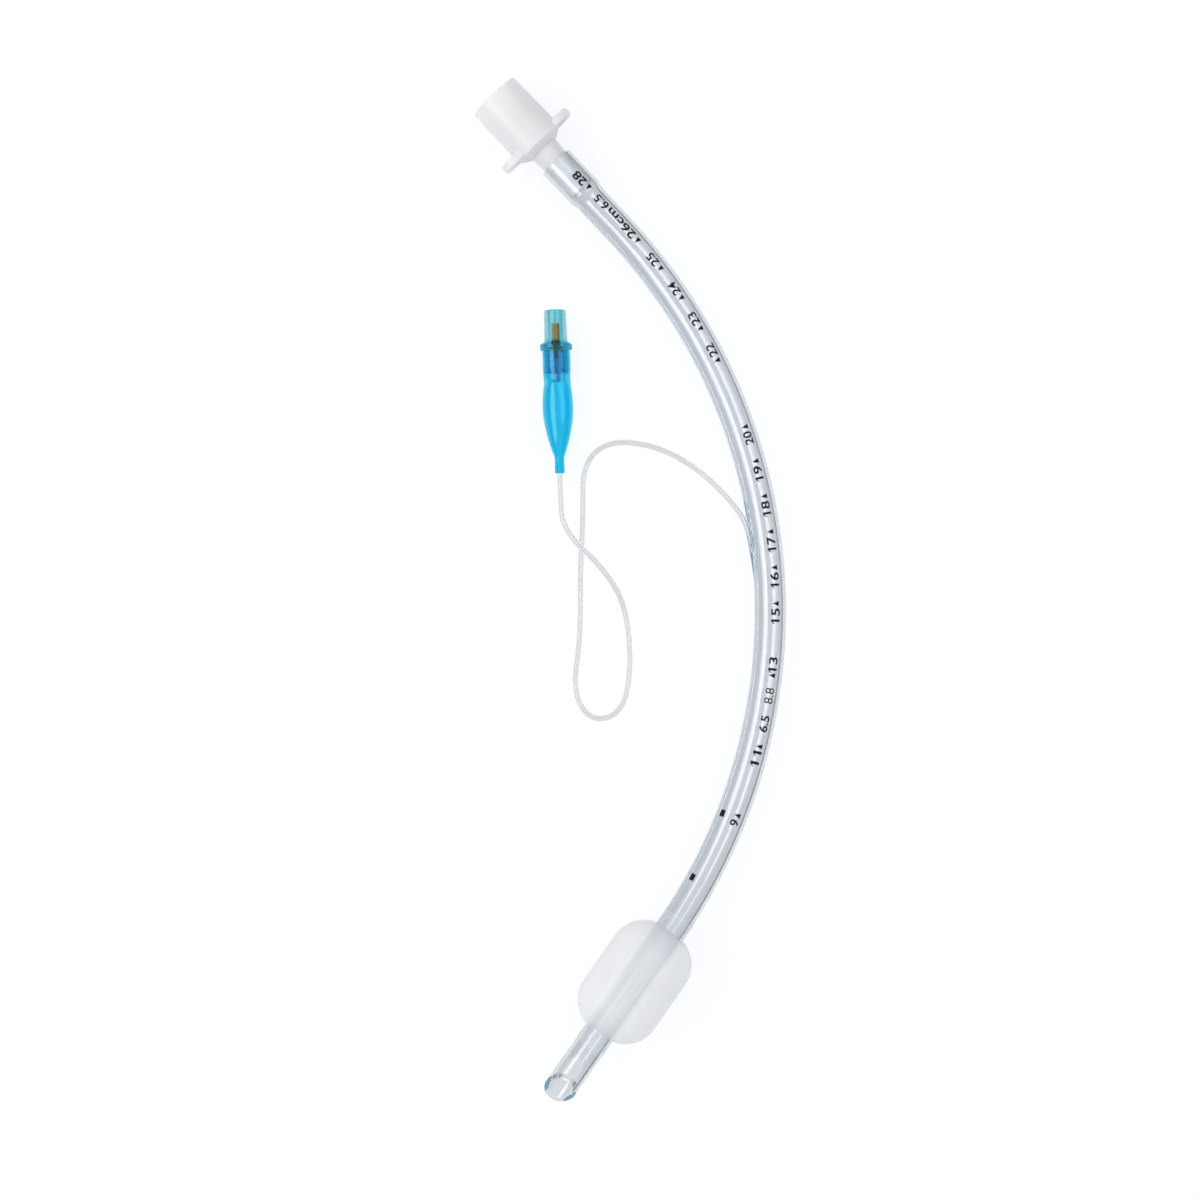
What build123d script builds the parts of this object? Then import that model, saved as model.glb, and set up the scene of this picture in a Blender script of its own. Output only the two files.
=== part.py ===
"""Cuffed endotracheal tube, size 6.5, lying at rest on a flat surface.

Millimetres. +X and +Y lie along the surface and +Z points up from it. The tube is bent in
one plane, which leans over until the connector, the bend and the cuff all touch the surface.
"""

import os
from math import cos, pi, radians, sin, sqrt, tan

from build123d import *

os.makedirs("parts", exist_ok=True)

# Shaft
lumen_diameter = 6.5
shaft_diameter = 8.8
straight_in = 25.0
bend_radius = 154.6
bend_angle = 79.3
straight_out = 56.5
bevel_angle = 46.0
bevel_margin = 1.0
flare_diameter = 9.8
flare_length = 11.5
flare_taper = 2.6
eye_length = 7.5
eye_width = 5.0
eye_from_tip = 10.0
air_lumen_diameter = 0.6
air_lumen_skin = 0.3
air_port_length = 3.0

# Where the connector end of the shaft lies on the surface, and which way it points
shaft_end_x = -20.55
shaft_end_y = 119.3
shaft_heading = -46.35

# Breathing-circuit connector
cone_length = 15.8
cone_mouth_diameter = 15.1
cone_base_diameter = 15.5
cone_bore_diameter = 12.6
funnel_lead = 0.6
ear_span = 24.9
ear_width = 10.0
ear_thickness = 2.5
ear_round = 0.7
hub_length = 1.8
hub_end_diameter = 10.0
nipple_root_diameter = 8.7
nipple_diameter = 7.8
nipple_exposed = 5.0
nipple_grip = 10.5
nipple_bore_diameter = 6.0

# Cuff
cuff_diameter = 24.0
cuff_length = 34.6
cuff_shoulder_radius = 9.9
cuff_film = 0.2
cuff_collar = 4.6
cuff_from_tip = 39.7
bond_gap = 0.08

# Inflation line, and where it enters the wall of the shaft
line_diameter = 1.6
notch_distance = 121.6
line_grip = 5.0
swelling_length = 13.0
swelling_skin = 0.22
lumen_skin = 0.2
line_lead_out = 2.3
line_lead_in = 5.0
crossing_height = 5.4

# Pilot balloon
balloon_diameter = 8.65
balloon_wall = 0.35
balloon_neck_length = 9.0
balloon_length = 29.9
balloon_widest = 15.5
balloon_waning_at = 0.45
balloon_waning_share = 0.88
balloon_tail_slope = -0.75
tail_diameter = 2.7
tail_length = 4.5
tail_grip = 4.0

# Check valve
luer_mouth_bore = 4.3
luer_taper = 0.06
luer_depth = 8.4
luer_length = 8.9
luer_mouth_diameter = 6.1
luer_root_diameter = 6.5
valve_flange_diameter = 9.0
valve_flange_thickness = 1.7
valve_shoulder = 0.7
valve_seat_thickness = 1.9
valve_body_diameter = 7.0
valve_chamber_diameter = 4.6
valve_chamber_length = 7.4
stem_diameter = 2.3
stem_clearance = 0.08
stem_recess = 3.9
flute_radius = 0.45
flute_count = 4
disc_diameter = 3.7
disc_thickness = 0.6
seal_thickness = 0.8
seal_gap = 0.02
guide_diameter = 1.3
guide_length = 1.9
spring_diameter = 2.3
spring_wire = 0.28
spring_length = 4.4
spring_turns = 7
retainer_thickness = 1.2
retainer_sleeve_diameter = 2.3
retainer_sleeve_length = 2.8
retainer_wall = 0.4
vent_diameter = 0.8
vent_count = 4

# Where the mouth of the valve lies on the surface, and which way it points
valve_mouth_x = -21.2
valve_mouth_y = 78.1
valve_heading = -88.25

# Rounded rims
rim_round = 0.35
luer_rim_round = 0.3
valve_flange_round = 0.5

shaft_radius = shaft_diameter / 2
lumen_radius = lumen_diameter / 2
cuff_radius = cuff_diameter / 2
line_radius = line_diameter / 2
bend_length = radians(bend_angle) * bend_radius
shaft_length = straight_in + bend_length + straight_out
cuff_distance = shaft_length - cuff_from_tip
flange_back = nipple_exposed + hub_length
cone_base = -flange_back - ear_thickness
mouth_distance = cone_base - cone_length
cone_base_radius = cone_base_diameter / 2
shoulder_centre = cuff_length / 2 - cuff_shoulder_radius


def flat_axis(start, end):
    """Axis of the shaft laid flat: a straight, the bend and a straight."""
    with BuildLine() as axis:
        heading = (cos(radians(shaft_heading)), sin(radians(shaft_heading)))
        first = (shaft_end_x + start * heading[0], shaft_end_y + start * heading[1])
        lead_in = PolarLine(first, straight_in - start, shaft_heading)
        bend = JernArc(lead_in @ 1, lead_in % 1, bend_radius, -bend_angle)
        PolarLine(bend @ 1, end - straight_in - bend_length, direction=bend % 1)
    return axis.wires()[0]


whole_axis = flat_axis(mouth_distance, shaft_length)


def flat_point(distance):
    """Point of the axis laid flat, at a distance from the connector end of the shaft."""
    return whole_axis.position_at(distance - mouth_distance, PositionMode.LENGTH)


def flat_tangent(distance):
    """Direction of the axis laid flat, towards the tip."""
    return whole_axis.tangent_at(distance - mouth_distance, PositionMode.LENGTH)


def leaning_plane():
    """Plane of the bend when connector, bend and cuff all touch the surface.

    Height rises across it by a constant slope. The part of the slope along the line from
    connector to cuff follows from their two heights, and the part across it from the
    lowest point of the bend, which lies a bend radius down the slope from its centre.
    """
    hub = flat_point(-flange_back)
    shoulder = flat_point(cuff_distance - shoulder_centre)
    inward = Vector(0, 0, 1).cross(flat_tangent(straight_in)) * -bend_radius
    centre = flat_point(straight_in) + inward
    along = (shoulder - hub).normalized()
    across = Vector(0, 0, -1).cross(along)
    slope_along = (cuff_radius - cone_base_radius) / (shoulder - hub).length
    a = across.dot(centre - hub)
    b = slope_along * along.dot(centre - hub) + cone_base_radius - shaft_radius
    p = bend_radius**2 - a**2
    q = (bend_radius * slope_along) ** 2 - b**2
    slope_across = (a * b + sqrt((a * b) ** 2 - p * q)) / p
    rise = along * slope_along + across * slope_across
    x_dir = Vector(sqrt(1 - rise.X**2), 0, rise.X)
    y_lean = -rise.X * rise.Y / x_dir.X
    y_dir = Vector(y_lean, sqrt(1 - y_lean**2 - rise.Y**2), rise.Y)
    height = cone_base_radius - rise.dot(hub)
    return Plane((0, 0, height), x_dir=x_dir, z_dir=x_dir.cross(y_dir))


rest_plane = leaning_plane()


def shaft_axis(start, end):
    """Axis of the shaft as it lies, between two distances from its connector end."""
    return flat_axis(start, end).moved(rest_plane.location)


def profile_plane(distance):
    """Plane holding the axis: x towards the tip, y towards the outside of the bend."""
    flat = Plane(flat_point(distance), x_dir=flat_tangent(distance), z_dir=(0, 0, 1))
    return Plane(rest_plane.location * flat.location)


def section_plane(distance):
    """Plane across the shaft: x towards the inside of the bend, z towards the tip."""
    along = profile_plane(distance)
    return Plane(along.origin, x_dir=-along.y_dir, z_dir=along.x_dir)


def side_plane(distance):
    """Plane holding the axis, seen from the inside of the bend: x towards the tip, y up."""
    along = profile_plane(distance)
    return Plane(along.origin, x_dir=along.x_dir, z_dir=-along.y_dir)


def axis_of(plane):
    """The line through a plane's origin along its x."""
    return Axis(plane.origin, plane.x_dir)


def corner_radii(points):
    """Arc at each corner, as large as its two runs allow."""
    radii = []
    for before, corner, after in zip(points, points[1:], points[2:]):
        run_in, run_out = corner - before, after - corner
        half_turn = radians(run_in.get_angle(run_out) / 2)
        radii.append(0.45 * min(run_in.length, run_out.length) / tan(half_turn))
    return radii


# Shaft: an extruded tube, flared over the connector and cut to a bevel at the tip
flare_radius = flare_diameter / 2
nipple_radius = nipple_diameter / 2
flare_end = flare_length + flare_taper
air_lumen_offset = lumen_radius + air_lumen_skin + air_lumen_diameter / 2
line_offset = lumen_radius + lumen_skin + line_radius
swelling_radius = line_radius + swelling_skin
notch = section_plane(notch_distance)
socket_centre = notch.from_local_coords((line_offset, 0, 0))
line_start = socket_centre + notch.z_dir * line_grip
line_lead = socket_centre - notch.z_dir * line_lead_out
line_lift = Vector(28.8, 24.2, 3.0)
connector_plane = profile_plane(0)
tip_plane = side_plane(shaft_length)
bevel_run = shaft_diameter / tan(radians(bevel_angle))

with BuildPart() as tube_shaft:
    with BuildSketch(section_plane(0)):
        Circle(shaft_radius)
    sweep(path=shaft_axis(0, shaft_length))
    with BuildSketch(connector_plane):
        with BuildLine():
            Polyline(
                (0, 0),
                (0, flare_radius),
                (flare_length, flare_radius),
                (flare_end, shaft_radius),
                (flare_end, 0),
                close=True,
            )
        make_face()
    revolve(axis=axis_of(connector_plane))
    with BuildSketch(notch):
        with Locations((line_offset, 0)):
            Circle(swelling_radius)
    with BuildSketch(section_plane(notch_distance + swelling_length)):
        with Locations((air_lumen_offset, 0)):
            Circle(air_lumen_diameter)
    loft()
    with BuildSketch(section_plane(flare_end)):
        Circle(lumen_radius)
    sweep(path=shaft_axis(flare_end, shaft_length), mode=Mode.SUBTRACT)
    with BuildSketch(connector_plane):
        with BuildLine():
            Polyline(
                (0, 0),
                (0, nipple_radius),
                (flare_length, nipple_radius),
                (flare_end, lumen_radius),
                (flare_end, 0),
                close=True,
            )
        make_face()
    revolve(axis=axis_of(connector_plane), mode=Mode.SUBTRACT)
    with BuildSketch(section_plane(flare_end)):
        with Locations((air_lumen_offset, 0)):
            Circle(air_lumen_diameter / 2)
    sweep(path=shaft_axis(flare_end, cuff_distance + air_port_length), mode=Mode.SUBTRACT)
    with BuildLine() as notch_line:
        lead_radii = corner_radii([line_start, line_lead, line_lift])
        FilletPolyline(line_start, line_lead, line_lift, radius=lead_radii)
    with BuildSketch(Plane(line_start, z_dir=line_lead - line_start)):
        Circle(line_radius + bond_gap)
    sweep(path=notch_line.wires()[0], mode=Mode.SUBTRACT)
    with BuildSketch(side_plane(cuff_distance).offset(air_lumen_offset)):
        SlotOverall(air_port_length, air_lumen_diameter)
    extrude(amount=shaft_radius, mode=Mode.SUBTRACT)
    with BuildSketch(tip_plane):
        with BuildLine():
            Polyline(
                (0, -shaft_radius),
                (-bevel_run, shaft_radius),
                (-bevel_run, shaft_radius + bevel_margin),
                (bevel_margin, shaft_radius + bevel_margin),
                (bevel_margin, -shaft_radius),
                close=True,
            )
        make_face()
    extrude(amount=shaft_diameter, both=True, mode=Mode.SUBTRACT)
    with BuildSketch(profile_plane(shaft_length - eye_from_tip)):
        SlotOverall(eye_length, eye_width)
    extrude(amount=-shaft_diameter, mode=Mode.SUBTRACT)
tube_shaft.part.label = "tube_shaft"

# Circuit connector: a 15 mm cone, two ears and a nipple pushed into the shaft
cone_mouth_radius = cone_mouth_diameter / 2
cone_bore_radius = cone_bore_diameter / 2
nipple_bore_radius = nipple_bore_diameter / 2
nipple_root_radius = nipple_root_diameter / 2
hub_end_radius = hub_end_diameter / 2
funnel_start = cone_base - funnel_lead
funnel_end = cone_base + ear_thickness
ear_plane = section_plane(cone_base)

with BuildPart() as circuit_connector:
    with BuildSketch(ear_plane):
        SlotOverall(ear_span, ear_width)
    extrude(amount=ear_thickness)
    fillet(faces().sort_by(SortBy.AREA)[-2:].edges(), ear_round)
    with BuildSketch(connector_plane):
        with BuildLine():
            Polyline(
                (mouth_distance, 0),
                (mouth_distance, cone_mouth_radius),
                (cone_base, cone_base_radius),
                (-flange_back, cone_base_radius),
                (-nipple_exposed, hub_end_radius),
                (-nipple_exposed, nipple_root_radius),
                (0, nipple_radius),
                (nipple_grip, nipple_radius),
                (nipple_grip, 0),
                close=True,
            )
        make_face()
    revolve(axis=axis_of(connector_plane))
    with BuildSketch(connector_plane):
        with BuildLine():
            Polyline(
                (mouth_distance, 0),
                (mouth_distance, cone_bore_radius),
                (funnel_start, cone_bore_radius),
                (funnel_end, nipple_bore_radius),
                (nipple_grip, nipple_bore_radius),
                (nipple_grip, 0),
                close=True,
            )
        make_face()
    revolve(axis=axis_of(connector_plane), mode=Mode.SUBTRACT)
    fillet(faces().sort_by(axis_of(connector_plane))[0].edges(), rim_round)
circuit_connector.part.label = "circuit_connector"

# Cuff: a thin blown film with a collar bonded to the shaft at each end
cuff_plane = profile_plane(cuff_distance)
collar_end = cuff_length / 2 + cuff_collar


def cuff_profile(inset):
    """Half section of the cuff, a given depth inside its outer face."""
    barrel = cuff_radius - inset
    collar = shaft_radius + bond_gap + cuff_film - inset
    shoulder = cuff_shoulder_radius - inset
    rise = collar - (cuff_radius - cuff_shoulder_radius)
    shoulder_end = shoulder_centre + sqrt(shoulder**2 - rise**2)
    with BuildSketch(cuff_plane) as section:
        with BuildLine():
            Line((shoulder_centre, barrel), (-shoulder_centre, barrel))
            RadiusArc((-shoulder_centre, barrel), (-shoulder_end, collar), -shoulder)
            Polyline(
                (-shoulder_end, collar),
                (-collar_end, collar),
                (-collar_end, 0),
                (collar_end, 0),
                (collar_end, collar),
                (shoulder_end, collar),
            )
            RadiusArc((shoulder_end, collar), (shoulder_centre, barrel), -shoulder)
        make_face()
    return section.sketch


with BuildPart() as cuff:
    revolve(cuff_profile(0), axis=axis_of(cuff_plane))
    revolve(cuff_profile(cuff_film), axis=axis_of(cuff_plane), mode=Mode.SUBTRACT)
cuff.part.label = "cuff"

# The valve and the balloon lie on the valve's flange and on the widest part of the balloon
valve_flange_radius = valve_flange_diameter / 2
balloon_radius = balloon_diameter / 2
flange_front = luer_length + valve_shoulder
flange_rear = flange_front + valve_flange_thickness
balloon_start = flange_rear
tail_start = balloon_start + balloon_length
widest = balloon_start + balloon_widest
valve_drop = (valve_flange_radius - balloon_radius) / (widest - flange_rear)
valve_x_dir = Vector(cos(radians(valve_heading)), sin(radians(valve_heading)), -valve_drop)
valve_plane = Plane(
    (valve_mouth_x, valve_mouth_y, valve_flange_radius + flange_rear * valve_drop),
    x_dir=valve_x_dir,
    z_dir=valve_x_dir.cross(Vector(0, 0, 1).cross(valve_x_dir)),
)
valve_axis = axis_of(valve_plane)


def valve_section(distance):
    """Plane across the valve, at a distance from its mouth, facing the balloon."""
    centre = valve_axis.position + valve_axis.direction * distance
    return Plane(centre, x_dir=valve_plane.z_dir, z_dir=valve_plane.x_dir)


def turned(points):
    """Half section of a turned piece, closed along the valve's axis."""
    with BuildSketch(valve_plane) as section:
        with BuildLine():
            Polyline((points[0][0], 0), *points, (points[-1][0], 0), close=True)
        make_face()
    return section.sketch


# Valve housing: a female luer socket, a flange, a seat and a chamber open to the balloon
luer_bore_radius = luer_mouth_bore / 2
luer_floor_radius = luer_bore_radius - luer_depth * luer_taper / 2
seat_end = luer_depth + valve_seat_thickness
chamber_end = seat_end + valve_chamber_length
chamber_radius = valve_chamber_diameter / 2
valve_body_radius = valve_body_diameter / 2
stem_radius = stem_diameter / 2
seat_bore_radius = stem_radius + stem_clearance

with BuildPart() as valve_housing:
    revolve(
        turned(
            [
                (0, luer_mouth_diameter / 2),
                (luer_length, luer_root_diameter / 2),
                (flange_front, valve_flange_radius),
                (flange_rear, valve_flange_radius),
                (flange_rear, valve_body_radius),
                (chamber_end, valve_body_radius),
            ]
        ),
        axis=valve_axis,
    )
    revolve(
        turned([(0, luer_bore_radius), (luer_depth, luer_floor_radius)]),
        axis=valve_axis,
        mode=Mode.SUBTRACT,
    )
    revolve(
        turned([(luer_depth, seat_bore_radius), (seat_end, seat_bore_radius)]),
        axis=valve_axis,
        mode=Mode.SUBTRACT,
    )
    revolve(
        turned([(seat_end, chamber_radius), (chamber_end, chamber_radius)]),
        axis=valve_axis,
        mode=Mode.SUBTRACT,
    )
    fillet(faces().sort_by(valve_axis)[0].edges(), luer_rim_round)
    fillet(
        edges().filter_by(GeomType.CIRCLE).group_by(lambda e: round(e.radius, 3))[-1],
        valve_flange_round,
    )
valve_housing.part.label = "valve_housing"

# Plunger: a fluted stem, a disc that carries the seal and a pin that guides the spring
seal_start = seat_end + seal_gap
disc_start = seal_start + seal_thickness
disc_end = disc_start + disc_thickness
disc_radius = disc_diameter / 2
guide_radius = guide_diameter / 2

with BuildPart() as valve_plunger:
    revolve(
        turned(
            [
                (stem_recess, stem_radius),
                (disc_start, stem_radius),
                (disc_start, disc_radius),
                (disc_end, disc_radius),
                (disc_end, guide_radius),
                (disc_end + guide_length, guide_radius),
            ]
        ),
        axis=valve_axis,
    )
    with BuildSketch(valve_section(stem_recess)):
        with PolarLocations(stem_radius, flute_count):
            Circle(flute_radius)
    extrude(amount=seat_end - stem_recess, mode=Mode.SUBTRACT)
valve_plunger.part.label = "valve_plunger"

# Seal: a rubber washer on the plunger, held against the seat
with BuildPart() as valve_seal:
    with BuildSketch(valve_section(seal_start)):
        Circle(disc_radius)
        Circle(stem_radius + seal_gap, mode=Mode.SUBTRACT)
    extrude(amount=seal_thickness - seal_gap)
valve_seal.part.label = "valve_seal"

# Spring: round wire between the plunger's disc and the retainer
spring_wire_radius = spring_wire / 2
spring_radius = spring_diameter / 2 - spring_wire_radius
spring_start = disc_end + seal_gap
spring_end = spring_start + spring_length
coil_height = spring_length - spring_wire

with BuildPart() as valve_spring:
    with BuildLine() as coil:
        Helix(pitch=coil_height / spring_turns, height=coil_height, radius=spring_radius)
    coil_line = coil.line.moved(valve_section(spring_start + spring_wire_radius).location)
    with BuildSketch(Plane(coil_line @ 0, z_dir=coil_line % 0)):
        Circle(spring_wire_radius)
    sweep(path=coil_line, is_frenet=True)
valve_spring.part.label = "valve_spring"

# Retainer: a vented plate pressed into the end of the chamber, with a sleeve behind it
retainer_start = spring_end + seal_gap
retainer_end = retainer_start + retainer_thickness
sleeve_radius = retainer_sleeve_diameter / 2

with BuildPart() as valve_retainer:
    revolve(
        turned(
            [
                (retainer_start, chamber_radius - bond_gap),
                (retainer_end, chamber_radius - bond_gap),
                (retainer_end, sleeve_radius),
                (retainer_end + retainer_sleeve_length, sleeve_radius),
            ]
        ),
        axis=valve_axis,
    )
    with BuildSketch(valve_section(retainer_start)):
        Circle(sleeve_radius - retainer_wall)
        with PolarLocations((sleeve_radius + chamber_radius) / 2, vent_count):
            Circle(vent_diameter / 2)
    extrude(amount=retainer_thickness + retainer_sleeve_length, mode=Mode.SUBTRACT)
valve_retainer.part.label = "valve_retainer"

# Pilot balloon: a neck over the valve body, a soft bulb and a tail over the inflation line
neck_radius = valve_body_radius + bond_gap + balloon_wall
neck_end = balloon_start + balloon_neck_length
tail_radius = tail_diameter / 2


def balloon_profile(inset, tail):
    """Half section of the pilot balloon, a given depth inside its outer face."""
    drop = tail_start - widest
    with BuildSketch(valve_plane) as section:
        with BuildLine():
            Polyline(
                (tail_start, tail),
                (tail_start + tail_length, tail),
                (tail_start + tail_length, 0),
                (balloon_start, 0),
                (balloon_start, neck_radius - inset),
                (neck_end, neck_radius - inset),
            )
            Spline(
                (neck_end, neck_radius - inset),
                (widest, balloon_radius - inset),
                (widest + balloon_waning_at * drop, balloon_waning_share * balloon_radius - inset),
                (tail_start, tail),
                tangents=[(1, 0), (1, balloon_tail_slope)],
            )
        make_face()
    return section.sketch


with BuildPart() as pilot_balloon:
    revolve(balloon_profile(0, tail_radius), axis=valve_axis)
    revolve(
        balloon_profile(balloon_wall, line_radius + seal_gap),
        axis=valve_axis,
        mode=Mode.SUBTRACT,
    )
pilot_balloon.part.label = "pilot_balloon"

# Inflation line: from its socket in the shaft, over the surface in a loop and across
# itself, into the tail of the pilot balloon
tail_mouth = valve_axis.position + valve_axis.direction * (tail_start + tail_length)
line_end = tail_mouth - valve_axis.direction * tail_grip
line_tail = tail_mouth + valve_axis.direction * line_lead_in
line_route = [
    line_start,
    line_lead,
    line_lift,
    (20.0, 33.1, 1.3),
    (8.3, 40.0, line_radius),
    (-5.8, 42.0, line_radius),
    (-13.4, 35.3, line_radius),
    (-13.3, 20.6, line_radius),
    (-14.1, 4.9, line_radius),
    (-14.0, -13.2, line_radius),
    (-16.2, -29.3, line_radius),
    (-11.0, -37.6, line_radius),
    (-2.2, -35.1, line_radius),
    (0.4, -22.3, line_radius),
    (-1.2, -4.9, line_radius),
    (-7.4, 5.5, crossing_height),
    (-19.1, 16.5, crossing_height),
    line_tail,
    line_end,
]
line_points = [Vector(p) for p in line_route]
line_radii = corner_radii(line_points)
with BuildPart() as inflation_line:
    with BuildLine() as line_path:
        FilletPolyline(*line_points, radius=line_radii)
    with BuildSketch(Plane(line_points[0], z_dir=line_points[1] - line_points[0])):
        Circle(line_radius)
    sweep(path=line_path.wires()[0])
inflation_line.part.label = "inflation_line"

line_length = line_path.wires()[0].length
line_volume = line_length * pi * line_radius**2
print("inflation line: radii", [round(r, 1) for r in line_radii])
print("inflation line: length", round(line_length, 2))
print("inflation line: volume as a share of the volume expected", inflation_line.part.volume / line_volume)

for piece in (
    tube_shaft,
    circuit_connector,
    cuff,
    inflation_line,
    pilot_balloon,
    valve_housing,
    valve_plunger,
    valve_seal,
    valve_spring,
    valve_retainer,
):
    export_step(piece.part, f"parts/{piece.part.label}.step")
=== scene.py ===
"""Looks of the cuffed endotracheal tube, lying on a white surface and seen from above.

Lengths are in millimetres until a piece is made, which is in metres, in the model's frame.
"""

import math

import bmesh
import bpy
from mathutils import Euler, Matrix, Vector


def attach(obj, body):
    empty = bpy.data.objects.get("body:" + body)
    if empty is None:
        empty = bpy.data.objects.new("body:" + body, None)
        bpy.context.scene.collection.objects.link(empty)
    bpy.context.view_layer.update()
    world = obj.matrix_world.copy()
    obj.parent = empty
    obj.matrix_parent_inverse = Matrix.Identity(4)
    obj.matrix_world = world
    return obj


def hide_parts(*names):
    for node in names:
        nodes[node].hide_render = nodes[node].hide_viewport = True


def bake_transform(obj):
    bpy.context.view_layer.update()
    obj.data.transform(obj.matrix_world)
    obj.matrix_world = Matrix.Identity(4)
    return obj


MM = 0.001
TURN = 2 * math.pi

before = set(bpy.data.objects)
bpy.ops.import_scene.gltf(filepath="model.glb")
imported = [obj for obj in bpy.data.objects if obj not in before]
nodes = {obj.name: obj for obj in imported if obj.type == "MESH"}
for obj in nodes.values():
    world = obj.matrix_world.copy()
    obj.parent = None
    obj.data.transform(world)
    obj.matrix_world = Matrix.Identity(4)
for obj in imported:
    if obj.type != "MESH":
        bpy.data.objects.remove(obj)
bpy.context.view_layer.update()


def placed(name, data):
    """An object in the scene."""
    made = bpy.data.objects.new(name, data)
    bpy.context.scene.collection.objects.link(made)
    return made


# Camera: straight above, with the photograph's frame 335 mm wide at the height of the tube
view_width = 335.2
view_centre = Vector((-8.55, -3.2, 8.0))
view_distance = 750.0
sensor_width = 36.0

camera_data = bpy.data.cameras.new("camera")
camera_data.sensor_width = sensor_width
camera_data.lens = sensor_width * view_distance / view_width
camera = placed("camera", camera_data)
camera.location = (view_centre + Vector((0, 0, view_distance))) * MM
bpy.context.scene.camera = camera
bpy.context.scene.view_settings.view_transform = "Standard"

# The plane that the tube is bent in, as it leans on the surface
plane_origin = Vector((0, 0, 9.14915))
plane_x = Vector((0.994413, 0, -0.105556))
plane_up = Vector((0.105499, 0.032898, 0.993875))
plane_y = plane_up.cross(plane_x)

# The shaft's axis in that plane
shaft_end = Vector((-20.55, 119.3))
shaft_heading = math.radians(-46.35)
straight_in = 25.0
bend_radius = 154.6
bend_angle = math.radians(79.3)
straight_out = 56.5
bend_end = straight_in + bend_angle * bend_radius
shaft_length = bend_end + straight_out

# Clearance between a film and what it holds
film_gap = 0.08

# Sizes across the shaft
shaft_radius = 4.4
lumen_radius = 3.25
flare_radius = 4.9
nipple_radius = 3.9
flare_length = 11.5
flare_taper = 2.6
bevel_angle = math.radians(46.0)
eye_from_tip = 10.0
eye_length = 7.5
eye_width = 5.0
air_lumen_radius = 0.3
air_lumen_offset = 3.85
cuff_from_tip = 39.7
cuff_centre = shaft_length - cuff_from_tip

# The inflation line: the same route as in the model
line_radius = 0.8
line_bore_radius = 0.42
line_offset = 4.25
socket_distance = 121.6
socket_depth = 5.0
swelling_length = 13.0
swelling_radius = 1.02
line_route = [
    (34.24, 10.07, 5.18),
    (33.22, 17.3, 5.05),
    (28.8, 24.2, 3.0),
    (20.0, 33.1, 1.3),
    (8.3, 40.0, 0.8),
    (-5.8, 42.0, 0.8),
    (-13.4, 35.3, 0.8),
    (-13.3, 20.6, 0.8),
    (-14.1, 4.9, 0.8),
    (-14.0, -13.2, 0.8),
    (-16.2, -29.3, 0.8),
    (-11.0, -37.6, 0.8),
    (-2.2, -35.1, 0.8),
    (0.4, -22.3, 0.8),
    (-1.2, -4.9, 0.8),
    (-7.4, 5.5, 5.4),
    (-19.1, 16.5, 5.4),
    (-19.65, 27.43, 4.06),
    (-19.93, 36.42, 4.16),
]

# The valve's axis, from its mouth towards the balloon
valve_mouth = Vector((-21.2, 78.1, 4.6276))
valve_axis = Vector((0.03054, -0.99947, -0.01129))
valve_side = Vector((0, 0, 1)).cross(valve_axis).normalized()
valve_up = valve_axis.cross(valve_side)


def smooth_step(value):
    """0 to 1 with soft ends."""
    value = min(max(value, 0.0), 1.0)
    return value * value * (3 - 2 * value)


def mix(a, b, share):
    """From a to b by a share."""
    return a + (b - a) * share


# Materials

# Bounces in clear plastic after which its surface glows in its deep colour: a painted glow that
# stands in for the light those long paths would carry
painted_glow_bounces = 8


def math_node(tree, operation, *values):
    """The output of a Math node whose inputs are numbers or other nodes' outputs."""
    node = tree.nodes.new("ShaderNodeMath")
    node.operation = operation
    for socket, value in zip(node.inputs, values):
        if isinstance(value, bpy.types.NodeSocket):
            tree.links.new(value, socket)
        else:
            socket.default_value = value
    return node.outputs[0]


def mixed_shader(tree, share, first, second):
    """The output of a Mix Shader node between two shaders."""
    node = tree.nodes.new("ShaderNodeMixShader")
    for socket, value in zip(node.inputs, (share, first, second)):
        tree.links.new(value, socket)
    return node.outputs[0]


def material(name, color, roughness, **inputs):
    """A Principled material; inputs are given by their socket's name with _ for a space."""
    made = bpy.data.materials.new(name)
    made.use_nodes = True
    shader = made.node_tree.nodes["Principled BSDF"]
    shader.inputs["Base Color"].default_value = (*color, 1)
    shader.inputs["Roughness"].default_value = roughness
    for key, value in inputs.items():
        shader.inputs[key.replace("_", " ")].default_value = value
    return made


def clear_material(name, color, roughness, ior, passed, deep, **inputs):
    """Clear plastic. Lamps shine through it tinted as passed says, and after many bounces in it
    the surface glows in the deep colour, a painted glow in place of the light that those paths
    would carry."""
    made = material(name, color, roughness, Transmission_Weight=1.0, IOR=ior, **inputs)
    tree = made.node_tree
    plastic = tree.nodes["Principled BSDF"].outputs[0]
    path = tree.nodes.new("ShaderNodeLightPath").outputs
    through = tree.nodes.new("ShaderNodeBsdfTransparent")
    through.inputs["Color"].default_value = (*passed, 1)
    # Painted glow: emission in the deep colour for rays that have bounced many times, which
    # colours the edges of the clear walls
    glow = tree.nodes.new("ShaderNodeEmission")
    glow.inputs["Color"].default_value = (*deep, 1)
    bounces = math_node(tree, "ADD", path["Ray Depth"], path["Glossy Depth"])
    many = math_node(tree, "GREATER_THAN", bounces, painted_glow_bounces)
    lit = mixed_shader(tree, path["Is Shadow Ray"], plastic, through.outputs[0])
    surface = mixed_shader(tree, many, lit, glow.outputs[0])
    tree.links.new(surface, tree.nodes["Material Output"].inputs["Surface"])
    return made


# In each clear material, deep is the colour of the painted glow after many bounces, which tints
# the edges of its walls
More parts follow.
